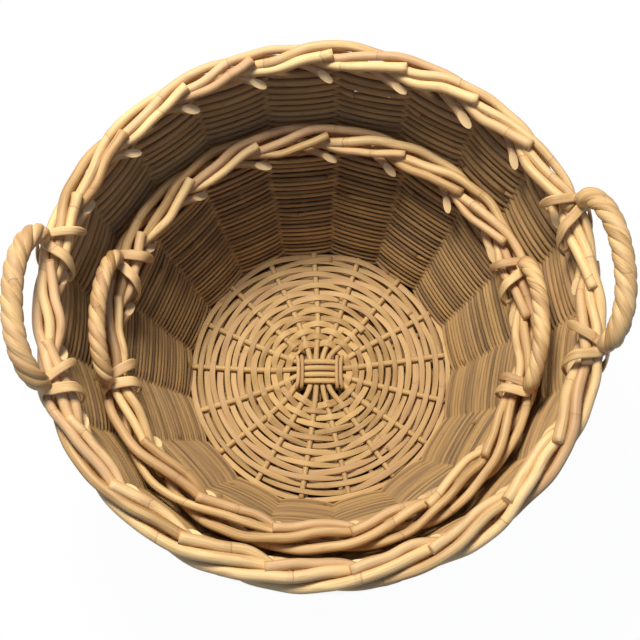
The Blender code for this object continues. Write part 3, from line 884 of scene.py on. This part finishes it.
# Base
def stick_phase(ways, radius, angle):
    """Half turns of the weave at a place of the base: one for each stick passed."""
    at_radius = []
    for points in ways:
        radii = [np.hypot(*point) for point in points]
        angles = np.unwrap([atan2(point[1], point[0]) for point in points])
        at_radius.append(float(np.interp(radius, radii, angles)))
    order = np.sort(np.mod(at_radius, tau))
    order = np.concatenate([[order[-1] - tau], order, [order[0] + tau]])
    place_in_turn = angle % tau
    index = int(np.searchsorted(order, place_in_turn, side='right')) - 1
    between = (place_in_turn - order[index]) / (order[index + 1] - order[index])
    return index - 1 + between


def base_strips(basket, draws):
    """Flat strips woven round the base sticks from the cross to the edge."""
    base = bpy.context.scene.base_sizes
    ways = basket.half_sticks()
    lift = (BAR_DIAMETER + base.strip_thickness) / 2
    outermost = basket.base_radius() + base.strip_width * STRIP_OVERHANG_SHARE
    per_turn = basket.stakes * STRIP_STEPS_PER_STAKE
    steps = int((outermost - base.first_turn) / base.strip_spacing * per_turn)
    begin = draws.uniform(0.0, tau)
    path = []
    for step in range(steps):
        angle = begin + tau * step / per_turn
        radius = base.first_turn + base.strip_spacing * step / per_turn
        radius += sum(reach * sin(angle * ripples) for reach, ripples in STRIP_RIPPLES)
        phase = pi * (floor(angle / tau) * basket.stakes + stick_phase(ways, radius, angle))
        path.append(polar(radius, angle, basket.stick_z + lift * cos(phase)))
    path = np.array(path)
    bundle = Bundle(f'{basket.name}_base_strips', draws)
    for start, end in pieces(steps - 1, per_turn, STRIP_TURNS, per_turn // 4, draws):
        part = path[max(start - STRIP_OVERLAP_STEPS, 0):end + 1].copy()
        ahead = np.exp(-np.arange(len(part)) / STRIP_OVERLAP_FALL)
        shift = base.strip_width * draws.uniform(-STRIP_SHIFT_SHARE, STRIP_SHIFT_SHARE)
        part += from_axis(part) * (ahead * shift)[:, None]
        part[:, 2] += ahead * base.strip_thickness * STRIP_LIFT_SHARE
        width = base.strip_width / 2 * draws.uniform(*STRIP_WIDTHS) * tapered(len(part), *STRIP_TAPER)
        bundle.add_rod(part, UP, width, base.strip_thickness / 2, sides=STRIP_SIDES,
                       squareness=STRIP_SQUARENESS)
    return bundle.make(material('strip_willow'))


def add_split_stick(bundle, basket, index):
    """A stick with its slit open round the through sticks: two halves in the cross."""
    right, _, left, _, _ = basket.stick_angles()
    half = basket.cross_half()
    lane = basket.lane(index)
    tone = bundle.draws.uniform()
    # Places along the stick, with how far each half has left the middle there
    start = [(*place, 0.0) for place in basket.outer_way(left[-1 - index])[::-1]]
    end = [(*place, 0.0) for place in basket.outer_way(right[index])]
    cross = [(-half - SPLIT_WALL, lane, SLIT_END_SHARE), (-half / 2, lane, 1.0),
             (half / 2, lane, 1.0), (half + SPLIT_WALL, lane, SLIT_END_SHARE)]
    for side in (-1, 1):
        path = smooth_path([(x, y, basket.stick_z + side * share * SLIT_OPENING)
                            for x, y, share in start + cross + end], ROD_STEP)
        opened = np.clip(side * (path[:, 2] - basket.stick_z) / SLIT_OPENING, 0.0, 1.0)
        in_cross = np.hypot(path[:, 0], path[:, 1]) < CROSS_REACH_SHARE * half
        thickness = np.where(in_cross, STICK_DIAMETER, BAR_DIAMETER) / 2
        bundle.add_rod(path, UP, STICK_DIAMETER / 2 * SPLIT_WIDTH_SHARE,
                       thickness * (SPLIT_WIDTH_SHARE - SPLIT_SHARE * opened), tone=tone)


def split_sticks(basket, draws):
    bundle = Bundle(f'{basket.name}_split_rods', draws)
    for index in range(basket.across):
        add_split_stick(bundle, basket, index)
    return bundle.make(material('stick_willow'))


def through_stick(basket, index, draws):
    _, back, _, front, _ = basket.stick_angles()
    half = basket.cross_half()
    lane = basket.lane(index)
    points = (basket.outer_way(front[index])[::-1] + [(lane, -half), (lane, half)]
              + basket.outer_way(back[-1 - index]))
    path = smooth_path([(x, y, basket.stick_z) for x, y in points], ROD_STEP)
    bundle = Bundle(f'{basket.name}_through_rod_{index + 1}', draws)
    bundle.add_rod(path, UP, STICK_DIAMETER / 2 * draws.uniform(*STICK_GIRTHS), BAR_DIAMETER / 2)
    return bundle.make(material('stick_willow'))


def odd_stick(basket, draws):
    odd = basket.stick_angles()[-1]
    radii = np.linspace(ODD_START_SHARE * basket.cross_half(), basket.base_radius(), 3)
    path = smooth_path([polar(radius, odd, basket.stick_z) for radius in radii], ROD_STEP)
    bundle = Bundle(f'{basket.name}_odd_rod', draws)
    bundle.add_rod(path, UP, STICK_DIAMETER / 2 * ODD_WIDTH_SHARE, BAR_DIAMETER / 2)
    return bundle.make(material('stick_willow'))


def cross_ties(basket, draws):
    """Turns of thin rod that bind the split sticks together on both sides of the cross."""
    tie = bpy.context.scene.base_sizes.tie_diameter
    bundle = Bundle(f'{basket.name}_cross_ties', draws)
    wide = basket.across * basket.cross_spacing() / 2 + tie * TIE_BESIDE_SHARE
    high = STICK_DIAMETER / 2 + tie * TIE_OVER_SHARE
    angle = tau * np.arange(TIE_SAMPLES) / TIE_SAMPLES
    y = wide * powered(np.cos(angle), TIE_SQUARENESS)
    z = basket.stick_z + high * powered(np.sin(angle), TIE_SQUARENESS)
    for side in (-1, 1):
        for turn in range(2):
            out = side * (basket.cross_half() + tie * (TIE_START_SHARE + TIE_SPACING_SHARE * turn))
            x = out + side * tie * TIE_BOW_SHARE * np.cos(angle) ** 2 * (1 + turn)
            bundle.add_rod(np.stack([x, y, z], axis=1), (1.0, 0.0, 0.0), tie * TIE_WIDTH_SHARE,
                           tie / 2, sides=WEAVER_SIDES, closed=True)
    return bundle.make(material('strip_willow'))


# Handles
def bow_path(basket, turn):
    """Arch of a handle's rope, from foot to foot."""
    sizes = basket.sizes
    foot_radius = basket.border_radius + FOOT_OFFSET_SHARE * ROD_DIAMETER
    foot_z = basket.border_z + BORDER_TOP_SHARE * ROD_DIAMETER + CLEARANCE
    angle = pi * np.arange(BOW_SAMPLES + 1) / BOW_SAMPLES
    rise = powered(np.maximum(np.sin(angle), 0.0), 2 / BOW_SQUARENESS)
    ahead = powered(np.cos(angle), 2 / BOW_SQUARENESS)
    points = np.stack(polar(foot_radius + sizes.handle_lean * rise,
                            turn - sizes.handle_reach * basket.pitch * ahead,
                            foot_z + sizes.handle_height * rise), axis=1)
    way = way_along(points)
    return at_marks(np.linspace(0.0, way[-1], round(way[-1] / ROPE_STEP) + 1), way, points)


def round_border(basket, shares, angle, offset, slew):
    """Places round the border's section, from a sideways offset along the rim and slewing away."""
    beyond = LASHING_EASE + WRAP_HALF_THICKNESS
    half_width = BORDER_SIDE_SHARE * ROD_DIAMETER + beyond
    half_height = (BORDER_TOP_SHARE + BORDER_BOTTOM_SHARE) / 2 * ROD_DIAMETER + beyond
    middle_z = basket.border_z + (BORDER_TOP_SHARE - BORDER_BOTTOM_SHARE) / 2 * ROD_DIAMETER
    points = []
    for index, (outward, upward) in enumerate(shares):
        tight = WRAP_TIGHT_SHARE if outward > 0 else 1.0
        radius = basket.border_radius + outward * tight * half_width
        heading = angle + (offset + slew * index) / basket.border_radius
        points.append(polar(radius, heading, middle_z + upward * half_height))
    return points


def handle(basket, side, turn, draws):
    """Rope of twisted rods whose ends spread out and wrap the border."""
    sizes = basket.sizes
    bundle = Bundle(f'{basket.name}_rope_handle_{side}', draws)
    bow = bow_path(basket, turn)
    way = way_along(bow)
    along = unit(np.gradient(bow, axis=0))
    outward = from_axis(bow)
    outward = unit(outward - along * (outward * along).sum(axis=1, keepdims=True))
    across = np.cross(along, outward)
    strand = sizes.rope_diameter / 2 / (1 + 1 / sin(pi / ROPE_STRANDS)) * STRAND_PRESS_SHARE
    coil = sizes.rope_diameter / 2 - strand
    lay = ROPE_LAY_SHARE * sizes.rope_diameter
    reach = sizes.handle_reach * basket.pitch
    for index in range(ROPE_STRANDS):
        twist = -tau * way / lay + tau * index / ROPE_STRANDS
        away = outward * np.cos(twist)[:, None] + across * np.sin(twist)[:, None]
        lane = index // 2 - 0.5
        feet = []
        for end in (-1, 1):
            shares = OUTSIDE_SHARES if index % 2 else INSIDE_SHARES
            offset = strand * lane * draws.uniform(*WRAP_OFFSETS)
            slew = strand * (lane * draws.uniform(*WRAP_SLEWS)
                             + draws.uniform(-WRAP_SLEW_SHIFT, WRAP_SLEW_SHIFT))
            feet.append(np.array(round_border(basket, shares, turn + end * reach, offset, slew)))
        # The rope's last few points make room for the bend into each foot
        on_bow = slice(BOW_TRIM, -BOW_TRIM)
        points = np.concatenate([feet[0][::-1], (bow + away * coil)[on_bow], feet[1]])
        facing = np.concatenate([wrap_facing(basket, feet[0][::-1]), away[on_bow],
                                 wrap_facing(basket, feet[1])])
        path = smooth_path(points, ROPE_STEP)
        points_way = way_along(points)
        path_way = way_along(path)
        path_way *= points_way[-1] / path_way[-1]
        lead = len(feet[0])
        from_foot = np.minimum(path_way - points_way[lead], points_way[-lead - 1] - path_way)
        on_rope = np.clip(from_foot / WRAP_FLATTENING + 0.5, 0.0, 1.0)
        from_tip = np.minimum(path_way, points_way[-1] - path_way)
        to_tip = np.clip(from_tip / WRAP_POINTING, 0.0, 1.0)
        slim = draws.uniform(*WRAP_WIDTHS)
        width = strand * rising(slim, on_rope) * rising(TIP_WIDTH_SHARE, to_tip)
        height = strand * rising(WRAP_HEIGHT_SHARE, on_rope) * rising(TIP_HEIGHT_SHARE, to_tip)
        bundle.add_rod(path, unit(at_marks(path_way, points_way, facing)), width, height)
    return bundle.make(material('rope_willow'))


def wrap_facing(basket, spots):
    """Directions away from the border's middle at spots round it."""
    middle = from_axis(spots) * basket.border_radius + (0.0, 0.0, basket.border_z)
    return unit(spots - middle)


# Operators
def basket_choice():
    return bpy.props.EnumProperty(name='Basket', description='Which basket to work on',
                                  items=(('outer', 'Outer', 'The large basket'),
                                         ('inner', 'Inner', 'The small basket that lifts out')))


def draws_for(basket, part):
    return np.random.default_rng([SEED, basket.stakes, part])


class WILLOW_OT_border(bpy.types.Operator):
    """Bend each stake down into the interlaced border, with a short partner rod beside it"""
    bl_idname = 'willow.border'
    bl_label = 'Stakes and Border'
    basket: basket_choice()

    def execute(self, context):
        basket = Basket(self.basket)
        for index in range(basket.stakes):
            made = border_rod(basket, index, draws_for(basket, BORDER_DRAWS + index))
            place(made, basket, 'peeled_willow', f'stake_{index + 1:02d}')
        return {'FINISHED'}


class WILLOW_OT_side(bpy.types.Operator):
    """Weave the side: one rod after another, in front of one stake and behind the next"""
    bl_idname = 'willow.side'
    bl_label = 'Side Weavers'
    basket: basket_choice()

    def execute(self, context):
        basket = Basket(self.basket)
        made = side_weavers(basket, draws_for(basket, SIDE_DRAWS))
        place(made, basket, 'woven_willow', 'side_weave')
        return {'FINISHED'}


class WILLOW_OT_base_sticks(bpy.types.Operator):
    """Lay the split sticks, the sticks through their slits and the odd stick"""
    bl_idname = 'willow.base_sticks'
    bl_label = 'Base Sticks'
    basket: basket_choice()

    def execute(self, context):
        basket = Basket(self.basket)
        draws = draws_for(basket, STICK_DRAWS)
        place(split_sticks(basket, draws), basket, 'base_willow', 'split_sticks')
        for index in range(basket.across):
            place(through_stick(basket, index, draws), basket, 'base_willow',
                  f'through_stick_{index + 1}')
        place(odd_stick(basket, draws), basket, 'base_willow', 'odd_stick')
        return {'FINISHED'}


class WILLOW_OT_base_weave(bpy.types.Operator):
    """Weave flat strips round the base sticks and tie the cross"""
    bl_idname = 'willow.base_weave'
    bl_label = 'Base Strips and Ties'
    basket: basket_choice()

    def execute(self, context):
        basket = Basket(self.basket)
        draws = draws_for(basket, STRIP_DRAWS)
        place(base_strips(basket, draws), basket, 'woven_willow', 'base_weave')
        place(cross_ties(basket, draws), basket, 'woven_willow')
        return {'FINISHED'}


class WILLOW_OT_handles(bpy.types.Operator):
    """Twist both handles and wrap their ends round the border"""
    bl_idname = 'willow.handles'
    bl_label = 'Rope Handles'
    basket: basket_choice()

    def execute(self, context):
        basket = Basket(self.basket)
        for index, side in enumerate(('right', 'left')):
            turn = basket.sizes.handle_turn + index * pi
            made = handle(basket, side, turn, draws_for(basket, HANDLE_DRAWS + index))
            place(made, basket, 'twisted_willow', f'handle_{side}')
        return {'FINISHED'}


class WILLOW_OT_stage(bpy.types.Operator):
    """Set up the pale floor, the soft lamp, the even sky and the camera"""
    bl_idname = 'willow.stage'
    bl_label = 'Stage'

    def execute(self, context):
        settings = context.scene.stage_settings
        half = settings.floor_width / 2
        mesh = bpy.data.meshes.new('floor')
        mesh.from_pydata([(-half, -half, 0.0), (half, -half, 0.0), (half, half, 0.0),
                          (-half, half, 0.0)], [], [(0, 1, 2, 3)])
        ground = bpy.data.objects.new('floor', mesh)
        context.scene.collection.objects.link(ground)
        mesh.materials.append(floor_finish(settings))
        ground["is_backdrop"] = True
        sky(context.scene, settings.sky_strength)
        lamp = bpy.data.lights.new('soft_lamp', 'AREA')
        lamp.size = settings.lamp_width
        lamp.energy = settings.lamp_power
        lamp.color = LAMP_COLOUR
        hung = bpy.data.objects.new('soft_lamp', lamp)
        hung.location = settings.lamp_place
        aim(hung, Vector((0.0, 0.0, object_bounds()[1].z / 2)))
        context.scene.collection.objects.link(hung)
        seen = bpy.data.cameras.new('camera')
        seen.lens = settings.lens
        seen.clip_start = NEAREST_SEEN
        camera = bpy.data.objects.new('camera', seen)
        camera.location = settings.camera_place
        aim(camera, Vector(settings.camera_aim))
        context.scene.collection.objects.link(camera)
        context.scene.camera = camera
        context.scene.view_settings.view_transform = 'Standard'
        return {'FINISHED'}


def aim(item, target):
    item.rotation_euler = (target - item.location).to_track_quat('-Z', 'Y').to_euler()


def seen_directly(finish):
    """One for what the camera sees, straight or in a gloss, and nought for light that falls."""
    rays = finish.tree.nodes.new('ShaderNodeLightPath')
    seen = Value(finish, rays.outputs['Is Camera Ray'])
    for ray in ('Is Glossy Ray', 'Is Transmission Ray'):
        seen = seen + Value(finish, rays.outputs[ray])
    return seen.clamped()


def floor_finish(settings):
    """White ground: mostly its own white to the camera, with the baskets' shadow on it and a painted
    shadow, dark floor colour, under them.
    """
    finish = Finish(bpy.data.materials.new('white_floor'))
    shader = finish.tree.nodes['Principled BSDF']
    shader.inputs['Roughness'].default_value = FLOOR_ROUGHNESS
    glow = finish.add('ShaderNodeEmission', {}, {'Color': WHITE, 'Strength': 1.0})
    spot = finish.add('ShaderNodeNewGeometry')
    # Painted shadow: the floor's colour turns dark within a radius of the axis, under the baskets
    painted_shadow_distance = finish.add('ShaderNodeVectorMath', {'operation': 'LENGTH'}, {0: spot}, output=1)
    ground = finish.mixed(painted_shadow_distance < settings.painted_shadow_radius, FLOOR_COLOUR, PAINTED_SHADOW_COLOUR)
    finish.feed(shader.inputs['Base Color'], ground)
    away = finish.add('ShaderNodeVectorMath', {'operation': 'DISTANCE'},
                      {0: spot, 1: settings.shade_middle}, output=1)
    open_ground = ((away - settings.shade_radius) / SHADE_EDGE).clamped()
    both = finish.add('ShaderNodeMixShader', {},
                      {0: seen_directly(finish) * open_ground * GLOW_SHARE,
                       1: Value(finish, shader.outputs[0]), 2: glow})
    finish.feed(finish.tree.nodes['Material Output'].inputs['Surface'], both)
    return finish.owner


def sky(scene, strength):
    scene.world = bpy.data.worlds.new('even_sky')
    finish = Finish(scene.world)
    light = finish.tree.nodes['Background']
    light.inputs['Color'].default_value = SKY_COLOUR
    light.inputs['Strength'].default_value = strength
    white = finish.add('ShaderNodeBackground', {}, {'Color': WHITE, 'Strength': 1.0})
    both = finish.add('ShaderNodeMixShader', {}, {0: seen_directly(finish),
                                                  1: Value(finish, light.outputs[0]), 2: white})
    finish.feed(finish.tree.nodes['World Output'].inputs['Surface'], both)


BASKET_OPERATORS = ('border', 'side', 'base_sticks', 'base_weave', 'handles')


class WILLOW_PT_baskets(bpy.types.Panel):
    """Sidebar panel with the baskets' sizes, colours and pieces"""
    bl_label = 'Nested Willow Baskets'
    bl_idname = 'WILLOW_PT_baskets'
    bl_space_type = 'VIEW_3D'
    bl_region_type = 'UI'
    bl_category = 'Willow'

    def draw(self, context):
        layout = self.layout
        for group in GROUPS:
            box = layout.box()
            box.label(text=group.replace('_', ' ').capitalize())
            settings = getattr(context.scene, group)
            for name in settings.bl_rna.properties.keys():
                if name not in ('rna_type', 'name'):
                    box.prop(settings, name)
        for basket in ('outer', 'inner'):
            box = layout.box()
            box.label(text=f'{basket} basket'.capitalize())
            for name in BASKET_OPERATORS:
                box.operator(f'willow.{name}').basket = basket
        layout.operator('willow.stage')


GROUPS = {
    'outer_basket_sizes': OuterBasketSizes,
    'inner_basket_sizes': InnerBasketSizes,
    'base_sizes': BaseSizes,
    'willow_colours': WillowColours,
    'stage_settings': StageSettings,
}
CLASSES = (*GROUPS.values(), WILLOW_OT_border, WILLOW_OT_side, WILLOW_OT_base_sticks,
           WILLOW_OT_base_weave, WILLOW_OT_handles, WILLOW_OT_stage, WILLOW_PT_baskets)


def register():
    for item in CLASSES:
        bpy.utils.register_class(item)
    for name, group in GROUPS.items():
        setattr(bpy.types.Scene, name, bpy.props.PointerProperty(type=group))


def unregister():
    for name in GROUPS:
        delattr(bpy.types.Scene, name)
    for item in reversed(CLASSES):
        bpy.utils.unregister_class(item)


def main():
    register()
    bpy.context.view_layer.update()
    for basket in ('outer', 'inner'):
        for name in BASKET_OPERATORS:
            getattr(bpy.ops.willow, name)(basket=basket)
    bpy.ops.willow.stage()


if __name__ == "__main__":
    main()
